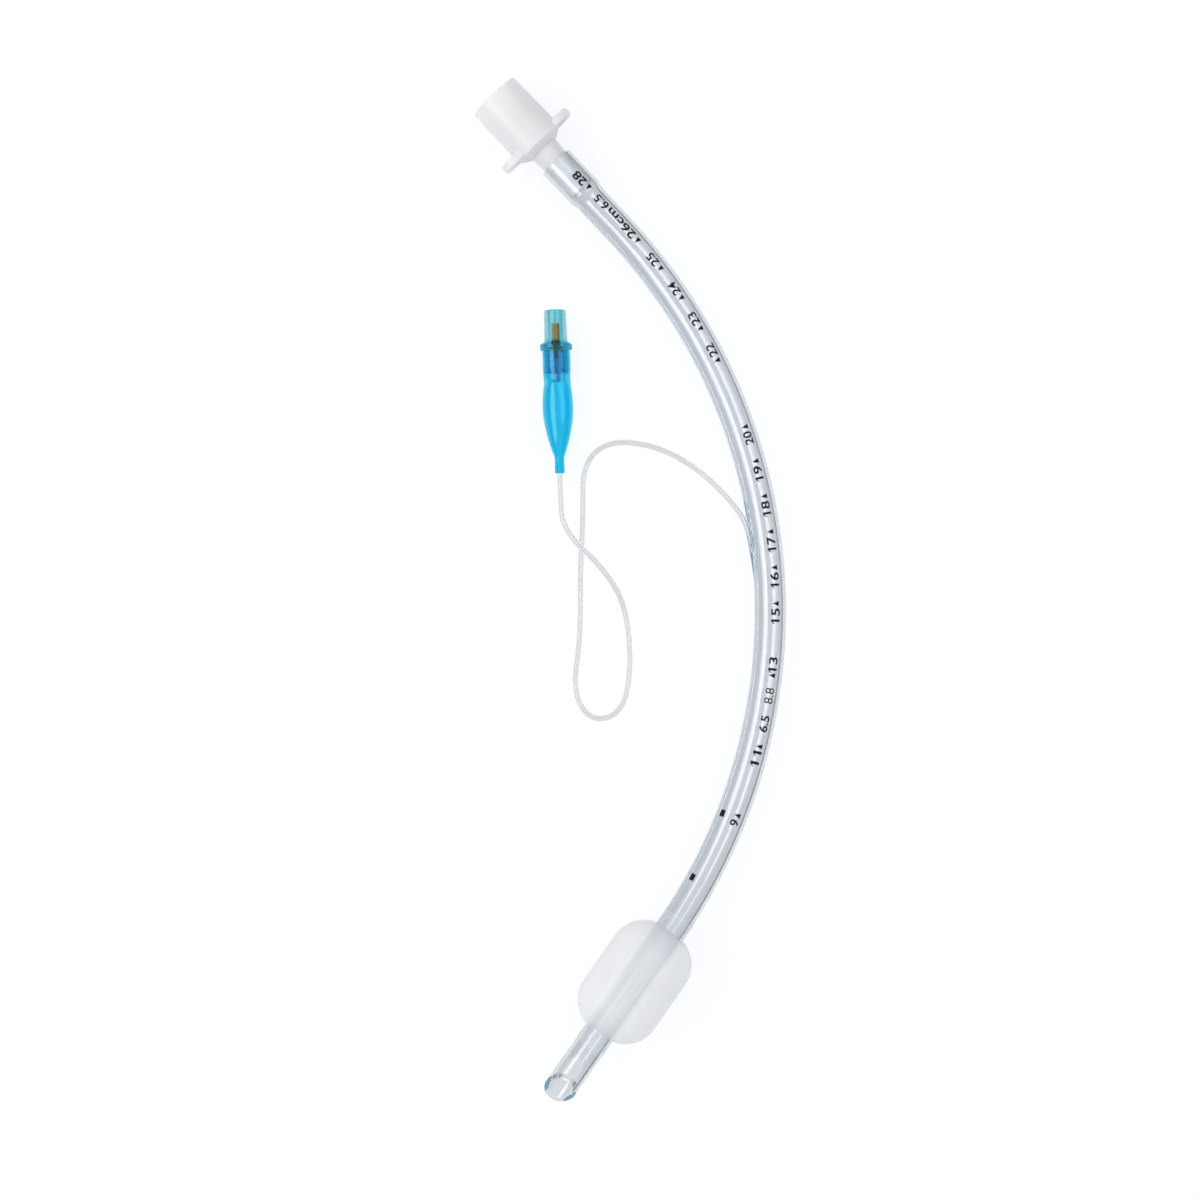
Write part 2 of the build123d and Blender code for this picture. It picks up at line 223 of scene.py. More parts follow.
clear_pvc = clear_material(
    "clear PVC",
    color=(0.9, 0.915, 0.94),
    roughness=0.02,
    ior=1.5,
    passed=(0.9, 0.92, 0.94),
    deep=(0.12, 0.3, 0.41),
    Specular_IOR_Level=0.8,
    Coat_Weight=0.6,
)
line_pvc = clear_material(
    "soft line",
    color=(0.97, 0.97, 0.98),
    roughness=0.04,
    ior=1.42,
    passed=(0.9, 0.9, 0.91),
    deep=(0.65, 0.66, 0.68),
)
connector_plastic = material(
    "translucent plastic",
    color=(0.92, 0.92, 0.925),
    roughness=0.3,
    Alpha=0.75,
    Subsurface_Weight=0.6,
    Subsurface_Radius=(1.0, 1.0, 1.0),
    Subsurface_Scale=0.004,
)
cuff_film = material("cuff film", color=(0.96, 0.96, 0.963), roughness=0.3, Alpha=0.28)
collar_film = material("cuff collar", color=(0.9, 0.92, 0.95), roughness=0.15, Alpha=0.08)
balloon_film = clear_material(
    "blue balloon",
    color=(0.01, 0.8, 1.0),
    roughness=0.06,
    ior=1.42,
    passed=(0.3, 0.85, 1.0),
    deep=(0.0, 0.3, 0.6),
)
valve_plastic = clear_material(
    "blue valve",
    color=(0.1, 0.64, 0.78),
    roughness=0.05,
    ior=1.48,
    passed=(0.8, 1.0, 1.0),
    deep=(0.0, 0.35, 0.5),
)
luer_plastic = clear_material(
    "blue luer",
    color=(0.36, 0.79, 0.86),
    roughness=0.05,
    ior=1.48,
    passed=(0.95, 1.0, 1.0),
    deep=(0.02, 0.35, 0.45),
)
flange_plastic = clear_material(
    "blue flange",
    color=(0.0, 0.4, 0.62),
    roughness=0.05,
    ior=1.48,
    passed=(0.6, 0.95, 1.0),
    deep=(0.0, 0.2, 0.32),
)
gold = material("gold", color=(1.0, 0.2, 0.01), roughness=0.22, Metallic=1.0)
rubber = material("rubber", color=(0.02, 0.03, 0.04), roughness=0.6)
steel = material("spring steel", color=(0.6, 0.61, 0.63), roughness=0.18, Metallic=1.0)
ink = material("ink", color=(0.006, 0.006, 0.008), roughness=0.6, Specular_IOR_Level=0.2)


# Making a piece
weld_distance = 1e-5


def metre_mesh(name, build):
    """The mesh, in metres, of what was built in millimetres."""
    mesh = bpy.data.meshes.new(name)
    build.to_mesh(mesh)
    build.free()
    for vertex in mesh.vertices:
        vertex.co *= MM
    return mesh


def finished(name, build, coat, replaced=(), body="tube", sharp=40.0):
    """What was built becomes a smooth piece of the object; sharp is the angle of its edges."""
    mesh = metre_mesh(name, build)
    mesh.materials.append(coat)
    piece = placed(name, mesh)
    smooth(mesh, sharp)
    if body:
        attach(piece, body)
    if replaced:
        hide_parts(*replaced)
    return piece


def smooth(mesh, sharp):
    """Smooth shading, apart from edges sharper than an angle in degrees."""
    mesh.shade_smooth()
    mesh.set_sharp_from_angle(angle=math.radians(sharp))


def rounded(corners, steps=6):
    """Outline whose corners, each (along, out, radius), are rounded."""
    outline = []
    for i, (along, out, radius) in enumerate(corners):
        here = Vector((along, out))
        if not radius:
            outline.append(here)
            continue
        before = (Vector(corners[i - 1][:2]) - here).normalized()
        after = (Vector(corners[(i + 1) % len(corners)][:2]) - here).normalized()
        half = before.angle(after) / 2
        centre = here + (before + after).normalized() * radius / math.sin(half)
        start = here + before * radius / math.tan(half) - centre
        end = here + after * radius / math.tan(half) - centre
        sweep = start.angle(end)
        for step in range(steps + 1):
            share = step / steps
            arm = start * math.sin((1 - share) * sweep) + end * math.sin(share * sweep)
            outline.append(centre + arm / math.sin(sweep))
    return outline


def turned(outline, spot, segments=96, push=None):
    """A closed outline of (along, out) turned round an axis; push shifts a point outwards."""
    build = bmesh.new()
    rings = []
    for along, out in outline:
        ring = []
        for k in range(segments):
            angle = TURN * k / segments
            extra = push(along, angle) if push else 0
            ring.append(build.verts.new(spot(along, out + extra, angle)))
        rings.append(ring)
    join_rings(build, rings, closed=True)
    bmesh.ops.remove_doubles(build, verts=build.verts, dist=weld_distance)
    bmesh.ops.recalc_face_normals(build, faces=build.faces)
    return build


def join_rings(build, rings, closed):
    """Faces between rings that have the same number of points."""
    following = rings[1:] + rings[:1] if closed else rings[1:]
    for ring, after in zip(rings, following):
        for k in range(len(ring)):
            n = (k + 1) % len(ring)
            build.faces.new((ring[k], ring[n], after[n], after[k]))


def mesh_of(name, data):
    """The mesh that a curve or a text makes."""
    guide = placed(name, data)
    depsgraph = bpy.context.evaluated_depsgraph_get()
    mesh = bpy.data.meshes.new_from_object(guide.evaluated_get(depsgraph))
    bpy.data.objects.remove(guide)
    return mesh


def close_ends(build, rings):
    """Faces between rings and across the first and the last, which makes a solid."""
    join_rings(build, rings, closed=False)
    build.faces.new(rings[0])
    build.faces.new(rings[-1])
    bmesh.ops.recalc_face_normals(build, faces=build.faces)
    return build


def cut(piece, build, operation="DIFFERENCE"):
    """Cuts a shape, in millimetres, from a piece, or adds it."""
    cutter = placed("cutter", metre_mesh("cutter", build))
    modifier = piece.modifiers.new("cut", "BOOLEAN")
    modifier.operation = operation
    modifier.object = cutter
    modifier.solver = "EXACT"
    depsgraph = bpy.context.evaluated_depsgraph_get()
    result = bpy.data.meshes.new_from_object(piece.evaluated_get(depsgraph))
    piece.modifiers.clear()
    piece.data = result
    bpy.data.objects.remove(cutter)


def shaft_frame(distance):
    """Point of the shaft's axis, and the ways to the tip, the inside of the bend and up."""
    bent = min(max(distance - straight_in, 0.0), bend_end - straight_in)
    heading = shaft_heading - bent / bend_radius
    start = Vector((math.cos(shaft_heading), math.sin(shaft_heading)))
    start_in = Vector((start.y, -start.x))
    ahead = Vector((math.cos(heading), math.sin(heading)))
    inward = Vector((ahead.y, -ahead.x))
    flat = shaft_end + start * min(distance, straight_in)
    flat += (start_in - inward) * bend_radius
    flat += ahead * max(distance - bend_end, 0.0)
    place = plane_origin + plane_x * flat.x + plane_y * flat.y
    return (
        place,
        plane_x * ahead.x + plane_y * ahead.y,
        plane_x * inward.x + plane_y * inward.y,
        plane_up,
    )


def shaft_spot(distance, radius, angle):
    """Point round the shaft's axis; the angle goes from up towards the inside of the bend."""
    place, _, inward, up = shaft_frame(distance)
    return place + (up * math.cos(angle) + inward * math.sin(angle)) * radius


def valve_spot(distance, radius, angle):
    """Point round the valve's axis; the angle goes from up to the side."""
    place = valve_mouth + valve_axis * distance
    return place + (valve_up * math.cos(angle) + valve_side * math.sin(angle)) * radius


# Shaft


def outer_radius(distance, angle):
    """Outside of the shaft: the flare over the connector and the swelling over the line."""
    share = smooth_step((distance - flare_length) / flare_taper)
    radius = mix(flare_radius, shaft_radius, share)
    along = (distance - socket_distance) / swelling_length
    if 0 <= along <= 1:
        reach = mix(swelling_radius, 2 * air_lumen_radius, along)
        offset = mix(line_offset, air_lumen_offset, along)
        side = math.cos(angle) * offset
        if math.sin(angle) > 0 and abs(side) < reach:
            bulge = offset * math.sin(angle) + math.sqrt(reach**2 - side**2)
            radius = max(radius, bulge)
    return radius


def inner_radius(distance):
    share = smooth_step((distance - flare_length) / flare_taper)
    return mix(nipple_radius, lumen_radius, share)


def stations(*parts):
    """Distances along the shaft; each part is its start, its end and its step."""
    found = []
    for start, end, step in parts:
        count = max(1, round((end - start) / step))
        found += [start + (end - start) * i / count for i in range(count)]
    return found + [parts[-1][1]]


# Rings of the shaft's mesh, closer together where its outside changes
shaft_segments = 128
fine_from = 11.0
fine_to = 14.5
flare_step = 1.1
taper_step = 0.25
bend_step = 1.2
lip_step = 0.05
swelling_step = 0.5
straight_step = 2.5
swelling_end = socket_distance + swelling_length
shaft_rings = stations(
    (0, fine_from, flare_step),
    (fine_from, fine_to, taper_step),
    (fine_to, socket_distance - lip_step, bend_step),
    (socket_distance - lip_step, socket_distance, lip_step),
    (socket_distance, swelling_end, swelling_step),
    (swelling_end, bend_end, bend_step),
    (bend_end, shaft_length, straight_step),
)
socket_clearance = 0.06
socket_segments = 32
air_lumen_margin = 1.0
air_lumen_steps = 200
air_lumen_segments = 16


def make_shaft():
    build = bmesh.new()
    angles = [TURN * k / shaft_segments for k in range(shaft_segments)]
    outer = [
        [build.verts.new(shaft_spot(d, outer_radius(d, a), a)) for a in angles]
        for d in shaft_rings
    ]
    inner = [
        [build.verts.new(shaft_spot(d, inner_radius(d), a)) for a in angles]
        for d in reversed(shaft_rings)
    ]
    join_rings(build, outer + inner, closed=True)
    bmesh.ops.recalc_face_normals(build, faces=build.faces)
    shaft = finished("shaft", build, clear_pvc, ["tube_shaft"])
    cut(shaft, bevel_cutter())
    cut(shaft, eye_cutter())
    cut(shaft, groove_cutter())
    add_air_lumen(shaft)
    smooth(shaft.data, sharp=30.0)


def prism(outline, lift):
    """A closed outline of points carried along a vector."""
    build = bmesh.new()
    low = [build.verts.new(p) for p in outline]
    high = [build.verts.new(Vector(p) + lift) for p in outline]
    return close_ends(build, [low, high])


def bevel_cutter():
    """Wedge above the slanted tip, which is longest at the bottom."""
    tip, ahead, inward, up = shaft_frame(shaft_length)
    run = 2 * shaft_radius / math.tan(bevel_angle)
    margin = 3.0
    slope = (up * 2 * shaft_radius - ahead * run).normalized()
    low = tip - up * shaft_radius - slope * margin
    high = tip + up * shaft_radius - ahead * run + slope * margin
    far = ahead * (run + 4 * margin)
    side = inward * 3 * shaft_radius
    corners = [low, high, high + far, low + far]
    return prism([p - side for p in corners], side * 2)


def eye_cutter():
    """Round-ended slot through the lower wall, opposite the bevel."""
    centre, ahead, inward, up = shaft_frame(shaft_length - eye_from_tip)
    half = eye_length / 2 - eye_width / 2
    segments = 48
    outline = []
    for k in range(segments):
        angle = TURN * k / segments
        shift = math.copysign(half, math.cos(angle))
        outline.append(
            centre
            + ahead * (shift + math.cos(angle) * eye_width / 2)
            + inward * math.sin(angle) * eye_width / 2
        )
    return prism(outline, up * -2 * shaft_radius)


def tube_along(points, radius, segments, upright=plane_up):
    """A round bar along points that never run the upright way."""
    build = bmesh.new()
    rings = []
    for i, point in enumerate(points):
        ahead = (points[min(i + 1, len(points) - 1)] - points[max(i - 1, 0)]).normalized()
        side = ahead.cross(upright).normalized()
        over = side.cross(ahead)
        ring = []
        for k in range(segments):
            angle = TURN * k / segments
            arm = side * math.cos(angle) + over * math.sin(angle)
            ring.append(build.verts.new(point + arm * radius))
        rings.append(ring)
    return close_ends(build, rings)


def groove_cutter():
    """Socket for the line, from inside the wall out to the surface."""
    start, lead = Vector(line_route[0]), Vector(line_route[1])
    points = [start, lead, lead + (lead - start)]
    return tube_along(points, line_radius + socket_clearance, socket_segments)


def add_air_lumen(shaft):
    """Fine channel inside the wall, as a cavity whose faces look into it."""
    steps = air_lumen_steps
    start, end = flare_length + flare_taper, cuff_centre
    distances = [start + (end - start) * i / steps for i in range(steps + 1)]
    points = [shaft_spot(d, air_lumen_offset, TURN / 4) for d in distances]
    stop = socket_distance - air_lumen_margin
    resume = socket_distance + socket_depth + air_lumen_margin
    before_socket = [p for p, d in zip(points, distances) if d < stop]
    after_socket = [p for p, d in zip(points, distances) if d > resume]
    build = bmesh.new()
    build.from_mesh(shaft.data)
    for run in (before_socket, after_socket):
        route = [p * MM for p in run]
        channel = tube_along(route, air_lumen_radius * MM, air_lumen_segments)
        bmesh.ops.reverse_faces(channel, faces=channel.faces)
        mesh = bpy.data.meshes.new("channel")
        channel.to_mesh(mesh)
        channel.free()
        build.from_mesh(mesh)
    build.to_mesh(shaft.data)
    build.free()


# Connector
cone_length = 15.8
cone_mouth_radius = 7.55
cone_base_radius = 7.75
cone_bore_radius = 6.3
ear_half_span = 12.45
ear_radius = 5.0
ear_thickness = 2.5
ear_round = 0.7
hub_back = -6.8
hub_end = -5.0
hub_end_radius = 5.0
nipple_root_radius = 4.35
nipple_grip = 10.5
nipple_bore_radius = 3.0
ear_start = hub_back - ear_thickness
cone_mouth = ear_start - cone_length
contact_gap = 0.03
cone_mouth_round = 0.45
cone_base_round = 0.5
hub_round = 0.4
nipple_round = 0.25
bore_round = 0.3
bore_shoulder = 0.6
mouth_bevel = 0.3
cutter_overshoot = 1.0


def make_connector():
    outline = rounded(
        [
            (cone_mouth, 0, 0),
            (cone_mouth, cone_mouth_radius, cone_mouth_round),
            (ear_start + ear_thickness / 3, cone_base_radius, 0),
            (hub_back, cone_base_radius, cone_base_round),
            (hub_end, hub_end_radius, hub_round),
            (hub_end, nipple_root_radius, 0),
            (0, nipple_radius - contact_gap, 0),
            (nipple_grip, nipple_radius - contact_gap, nipple_round),
            (nipple_grip, 0, 0),
        ]
    )
    bore = rounded(
        [
            (cone_mouth - cutter_overshoot, 0, 0),
            (cone_mouth - cutter_overshoot, cone_bore_radius + cutter_overshoot + mouth_bevel, 0),
            (cone_mouth + mouth_bevel, cone_bore_radius, 0),
            (ear_start - bore_shoulder, cone_bore_radius, bore_round),
            (hub_back, nipple_bore_radius, bore_round),
            (nipple_grip + cutter_overshoot, nipple_bore_radius, 0),
            (nipple_grip + cutter_overshoot, 0, 0),
        ]
    )
    connector = finished(
        "connector",
        turned(outline, shaft_spot),
        connector_plastic,
        ["circuit_connector"],
    )
    cut(connector, ear_plate(), "UNION")
    cut(connector, turned(bore, shaft_spot))
    smooth(connector.data, sharp=35.0)


def ear_plate():
    """Flat plate with round ends and soft edges, across the connector."""
    build = bmesh.new()
    steps = 6
    segments = 64
    edge = []
    for i in range(steps + 1):
        angle = TURN / 4 * i / steps
        edge.append((ear_round * (1 - math.sin(angle)), ear_round * (1 - math.cos(angle))))
    section = [(ear_start + deep, inset) for inset, deep in edge]
    section += [(hub_back - deep, inset) for inset, deep in reversed(edge)]
    half = ear_half_span - ear_radius
    rings = []
    for along, inset in section:
        place, _, inward, up = shaft_frame(along)
        ring = []
        for k in range(segments):
            angle = TURN * (k + 0.5) / segments
            reach = ear_radius - inset
            across = math.copysign(half, math.cos(angle)) + math.cos(angle) * reach
            ring.append(build.verts.new(place + inward * across + up * math.sin(angle) * reach))
        rings.append(ring)
    return close_ends(build, rings)


# Cuff
cuff_radius = 12.0
cuff_half_length = 17.3
cuff_shoulder = 9.9
cuff_wall = 0.18
cuff_collar_length = 4.6
cuff_collar_lip = 0.5
cuff_shoulder_steps = 24
cuff_barrel_steps = 6
cuff_segments = 128


def cuff_line(inset):
    """Half section of the cuff from collar to collar, a given depth inside its outer face."""
    collar = shaft_radius + film_gap + cuff_wall - inset
    shoulder = cuff_shoulder - inset
    start = cuff_half_length - cuff_shoulder
    rise = collar - (cuff_radius - cuff_shoulder)
    last = math.asin(rise / shoulder)
    collar_end = cuff_half_length + cuff_collar_length
    right = [Vector((collar_end, collar)), Vector((collar_end - cuff_collar_lip, collar))]
    for i in range(cuff_shoulder_steps + 1):
        angle = mix(last, TURN / 4, i / cuff_shoulder_steps)
        arm = Vector((math.cos(angle), math.sin(angle))) * shoulder
        right.append(Vector((start, cuff_radius - cuff_shoulder)) + arm)
    barrel = []
    for i in range(1, 2 * cuff_barrel_steps):
        barrel.append(Vector((start * (1 - i / cuff_barrel_steps), cuff_radius - inset)))
    left = [Vector((-p.x, p.y)) for p in reversed(right)]
    return right + barrel + left


def make_cuff():
    outline = cuff_line(0) + list(reversed(cuff_line(cuff_wall)))
    outline = [Vector((cuff_centre + p.x, p.y)) for p in outline]
    build = turned(outline, shaft_spot, cuff_segments)
    collar_edge = shaft_radius + 2 * cuff_wall + film_gap
    centre, ahead, _, _ = shaft_frame(cuff_centre)
    for face in build.faces:
        arm = face.calc_center_median() - centre
        axis_distance = (arm - ahead * arm.dot(ahead)).length
        face.material_index = int(axis_distance < collar_edge)
    cuff = finished("cuff_film", build, cuff_film, ["cuff"], sharp=50.0)
    cuff.data.materials.append(collar_film)


# Inflation line


def make_line():
    data = bpy.data.curves.new("inflation line", "CURVE")
    data.dimensions = "3D"
    spline = data.splines.new("NURBS")
    spline.points.add(len(line_route) - 1)
    for point, place in zip(spline.points, line_route):
        point.co = (*(Vector(place) * MM), 1)
    spline.order_u = 3
    spline.use_endpoint_u = True
    spline.resolution_u = 16
    data.bevel_depth = line_radius * MM
    data.bevel_resolution = 6
    data.use_fill_caps = True
    data.materials.append(line_pvc)
    line = placed("inflation_line_look", data)
    bore = make_line_bore(data)
    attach(line, "tube")
    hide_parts("inflation_line")
    socket = shaft_spot(socket_distance, line_offset, TURN / 4)


def make_line_bore(data):
    """The line's bore: a thinner round bar whose faces look inwards."""
    thin = data.copy()
    thin.bevel_depth = line_bore_radius * MM
    thin.bevel_resolution = 3
    mesh = mesh_of("line_bore_guide", thin)
    mesh.flip_normals()
    mesh.shade_smooth()
    bore = placed("line_bore", mesh)
    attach(bore, "tube")
    return bore


# Pilot balloon and valve
luer_length = 8.9
luer_depth = 8.4
luer_bore_radius = 2.15
luer_floor_radius = 1.9
luer_mouth_radius = 3.05
luer_root_radius = 3.25
flange_front = 9.6
flange_rear = 11.3
flange_radius = 4.5
body_radius = 3.5
seat_end = 10.3
seat_bore_radius = 1.23
chamber_radius = 2.3
chamber_end = 17.7
balloon_wall = 0.35
neck_radius = body_radius + film_gap + balloon_wall
neck_length = 9.0
widest_from_neck = 6.5
bulb_length = 20.9
tail_length = 4.5
neck_end = flange_rear + neck_length
widest = neck_end + widest_from_neck
tail_start = neck_end + bulb_length
tail_end = tail_start + tail_length
balloon_radius = 4.325
bulb_power = 0.9
tail_radius = 1.35
tail_lip = 0.15
balloon_rings = 90
balloon_segments = 96
luer_inner_round = 0.2
luer_mouth_round = 0.4
luer_root_round = 0.3
flange_round = 0.5
body_round = 0.2
chamber_round = 0.1
face_margin = 0.1

# Folds in the film just behind the valve
crease_depth = 0.24
crease_reach = 1.9
crease_before_end = 0.6
fold_share = 0.75
broad_folds = 3
broad_twist = 0.55
fine_folds = 5
fine_twist = -0.9
fine_start = 1.0
fine_strength = 0.5


def make_housing():
    outline = rounded(
        [
            (0, luer_bore_radius, luer_inner_round),
            (0, luer_mouth_radius, luer_mouth_round),
            (luer_length, luer_root_radius, luer_root_round),
            (flange_front, flange_radius, flange_round),
            (flange_rear, flange_radius, flange_round),
            (flange_rear, body_radius, 0),
            (chamber_end, body_radius, body_round),
            (chamber_end, chamber_radius, chamber_round),
            (seat_end, chamber_radius, 0),
            (seat_end, seat_bore_radius, 0),
            (luer_depth, seat_bore_radius, 0),
            (luer_depth, luer_floor_radius, luer_inner_round),
        ]
    )
    build = turned(outline, valve_spot)
    for face in build.faces:
        along = (face.calc_center_median() - valve_mouth).dot(valve_axis)
        if along < luer_length:
            face.material_index = 1
        elif along < flange_rear + face_margin:
            face.material_index = 2
    housing = finished(
        "valve_housing_look", build, valve_plastic, ["valve_housing"]
    )
    housing.data.materials.append(luer_plastic)
    housing.data.materials.append(flange_plastic)


def balloon_radius_at(along):
    """Outside of the balloon from its neck to its tail."""
    if along <= neck_end:
        return neck_radius
    if along <= widest:
        share = smooth_step((along - neck_end) / (widest - neck_end))
        return mix(neck_radius, balloon_radius, share)
    share = min((along - widest) / (tail_start - widest), 1.0)
    bulb = math.cos(share * TURN / 4) ** bulb_power if share < 1 else 0.0
    return mix(tail_radius, balloon_radius, bulb)


def crease(along, angle):
    """Soft folds where the film leaves the valve, as a push outwards. The broad ones and the
    fine ones twist round the neck opposite ways."""
    fade = math.exp(-(((along - neck_end + crease_before_end) / crease_reach) ** 2))
    broad = math.sin(broad_folds * angle + broad_twist * along)
    fine = fine_strength * math.sin(fine_folds * angle + fine_twist * along + fine_start)
    return -crease_depth * fade * (1 + (broad + fine) * fold_share)


def make_balloon():
    outer = []
    for i in range(balloon_rings + 1):
        along = mix(flange_rear, tail_start, i / balloon_rings)
        outer.append(Vector((along, balloon_radius_at(along))))
    narrowest = line_radius + contact_gap
    inner = [Vector((p.x, max(p.y - balloon_wall, narrowest))) for p in outer]
    inner.append(Vector((tail_end, narrowest)))
    outer.append(Vector((tail_end - tail_lip, tail_radius)))
    outer.append(Vector((tail_end, tail_radius - tail_lip)))
    finished(
        "pilot_balloon_look",
        turned(outer + list(reversed(inner)), valve_spot, balloon_segments, crease),
        balloon_film,
        ["pilot_balloon"],
        sharp=50.0,
    )


# Spring behind the plunger's disc
spring_start = 11.74
spring_length = 4.4
spring_turns = 7
spring_wire_radius = 0.14
spring_radius = 1.01
steps_a_turn = 24
wire_segments = 12


def make_spring():
    """Coil from the plunger's disc to the retainer."""
    steps = spring_turns * steps_a_turn
    rise = spring_length - 2 * spring_wire_radius
    points = []
    for i in range(steps + 1):
        along = spring_start + spring_wire_radius + rise * i / steps
        points.append(valve_spot(along, spring_radius, TURN * spring_turns * i / steps))
    spring = finished(
        "valve_spring_look",
        tube_along(points, spring_wire_radius, wire_segments, upright=valve_axis),
        steel,
        ["valve_spring"],
        body=None,
    )
    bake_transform(spring)


# Ink on the shaft
ink_height = 2.55
ink_lift = 0.02
ink_depth = 0.01
ink_side = -0.75
mark_17_distance = 121.6
mark_spacing = 10.0
arrow_length = 1.4
arrow_height = 1.9
ink_gap = 0.65
digit_pitch = 2.0
digit_width = 1.75
ink_weight = 0.02
longest_ink_edge = 0.45
ink_splits = 5

# Flag of the figure 1, and a share of the font's size that its bar is narrower than
flag_run = 0.65
flag_drop = 0.8
flag_stroke = 0.42
bar_limit = 0.2

# Sizes printed on the shaft, each with its distance and width, and the bars near the cuff
wide_mark_28 = 4.2
wide_mark_26 = 10.4
bore_print_near = (17.0, 4.4)
outside_print = (167.3, 4.4)
bore_print_far = (175.2, 4.6)
bar_distances = (202.5, 222.5)
bar_side = 2.6
bar_width = 1.1
bar_half_length = 1.0


def ink_angle(distance, side):
    """Angle round the shaft for a place a given way from its centreline, seen from above."""
    radius = outer_radius(distance, 0)
    return math.asin(max(-1.0, min(1.0, side / radius)))


def wrap(name, build):
    """Lays flat ink on the shaft: x is the distance along it, y goes to the inside of the bend."""
    for _ in range(ink_splits):
        long_edges = [e for e in build.edges if e.calc_length() > longest_ink_edge]
        if not long_edges:
            break
        bmesh.ops.subdivide_edges(build, edges=long_edges, cuts=1)
        bmesh.ops.triangulate(build, faces=build.faces)
    for vertex in build.verts:
        distance, side, lift = vertex.co.x, vertex.co.y, vertex.co.z
        radius = outer_radius(distance, 0) + ink_lift + lift
        vertex.co = shaft_spot(distance, radius, ink_angle(distance, ink_side) + side / radius)
    finished(name, build, ink)


def add_flags(build, words, xs, top, stretch, scale):
    """Slanted strokes of the figures 1 at either end of a number: the font has plain bars."""
    stem = max(x for x in xs if x < min(xs) + bar_limit) - min(xs)
    bars = [min(xs)] if words[0] == "1" else []
    if words[-1] == "1":
        bars.append(max(xs) - stem)
    run, drop, stroke = flag_run / stretch, flag_drop / scale, flag_stroke / scale
    for bar in bars:
        corners = [(bar, top), (bar, top - stroke), (bar - run, top - drop - stroke)]
        corners.append((bar - run, top - drop))
        build.faces.new([build.verts.new((x, y, 0)) for x, y in corners])


def ink_words(words, distance, width, weight=ink_weight):
    """Words centred at a distance along the shaft, read from the tip towards the connector."""
    data = bpy.data.curves.new("ink", "FONT")
    data.body = words
    data.size = 1.0
    data.offset = weight
    mesh = mesh_of("ink", data)
    xs = [v.co.x for v in mesh.vertices]
    ys = [v.co.y for v in mesh.vertices]
    stretch = width / (max(xs) - min(xs))
    scale = ink_height / (max(ys) - min(ys))
    middle = Vector(((max(xs) + min(xs)) / 2, (max(ys) + min(ys)) / 2, 0))
    build = bmesh.new()
    build.from_mesh(mesh)
    add_flags(build, words, xs, max(ys), stretch, scale)
    solid = bmesh.ops.extrude_face_region(build, geom=build.faces[:])
    moved = [g for g in solid["geom"] if isinstance(g, bmesh.types.BMVert)]
    for vertex in build.verts:
        local = vertex.co - middle
        vertex.co = Vector((distance - local.x * stretch, local.y * scale, 0))
    for vertex in moved:
        vertex.co.z = ink_depth
    bmesh.ops.recalc_face_normals(build, faces=build.faces)
    wrap("ink_words", build)


def ink_arrow(distance):
    """Triangle whose point looks to the inside of the bend."""
    half = arrow_length / 2
    base = -arrow_height / 2
    outline = [
        Vector((distance - half, base, 0)),
        Vector((distance + half, base, 0)),
        Vector((distance, base + arrow_height, 0)),
    ]
    wrap("ink_arrow", prism(outline, Vector((0, 0, ink_depth))))


def mark(number, arrow_first, words=None, width=None):
    """A depth mark: an arrow and its number, before or after it."""
    distance = mark_17_distance + (17 - number) * mark_spacing
    words = words or str(number)
    width = width or digit_width + digit_pitch * (len(words) - 1)
    reach = arrow_length / 2 + ink_gap + width / 2
    ink_arrow(distance)
    ink_words(words, distance - reach if arrow_first else distance + reach, width)


def vocal_bar(distance, side):
    """Black bar on the inside edge of the shaft."""
    half = bar_half_length
    low = math.asin(side / shaft_radius)
    high = math.asin((side + bar_width) / shaft_radius)
    outline = []
    for along, angle in ((-half, low), (half, low), (half, high), (-half, high)):
        shift = (angle - math.asin(ink_side / shaft_radius)) * shaft_radius
        outline.append(Vector((distance + along, shift, 0)))
    wrap("ink_bar", prism(outline, Vector((0, 0, ink_depth))))


def make_print():
    for number in (25, 24, 23, 22, 13):
        mark(number, True)
    mark(28, True, width=wide_mark_28)
    mark(26, True, "26cm", wide_mark_26)
    for number in (20, 19, 18, 17, 16, 15, 11, 9):
        mark(number, False)
    ink_words("6.5", *bore_print_near)
    ink_words("8.8", *outside_print, weight=0.0)
    ink_words("6.5", *bore_print_far)
    for distance in bar_distances:
        vocal_bar(distance, bar_side)


make_shaft()
make_connector()
make_cuff()
make_line()
make_housing()
make_balloon()
make_spring()
make_print()

# Valve pieces keep the model's shapes
for name, coat in (
    ("valve_plunger", gold),
    ("valve_seal", rubber),
    ("valve_retainer", valve_plastic),
):
    mesh = nodes[name].data
    mesh.materials.clear()
    mesh.materials.append(coat)


# Surface, world and lamps

# The surface's own white, by kind of ray: its share of the look and its strength. It glows weaker
# for rays through the clear parts, which is painted shade under the tube
glow_shares = {"Is Camera Ray": 0.82, "Is Transmission Ray": 0.85}
glow_strengths = {"Is Camera Ray": 1.05, "Is Transmission Ray": 0.74}
glow_tint = (0.96, 0.975, 1.0)
floor_color = (0.95, 0.95, 0.95)

# Lengths of a ray, in heights of the tube, between which that white fades, and what is left. The
# fade is painted shade: it darkens the surface seen at a slant through the clear walls, which
# gives their dark edges and tint
steep_ray = 1.05
slanting_ray = 1.5
slanting_glow = 0.1

# In metres
floor_half = 3.0
floor_drop = 0.00003

horizon_light = (0.1, 0.12, 0.15)
overhead_light = (0.8, 0.81, 0.83)
overhead_from = 0.75


def by_ray(tree, shares):
    """A value for each kind of ray, and 0 for the others."""
    path = tree.nodes.new("ShaderNodeLightPath").outputs
    total = 0.0
    for kind, share in shares.items():
        part = math_node(tree, "MULTIPLY", path[kind], share)
        total = math_node(tree, "MAXIMUM", total, part)
    return total


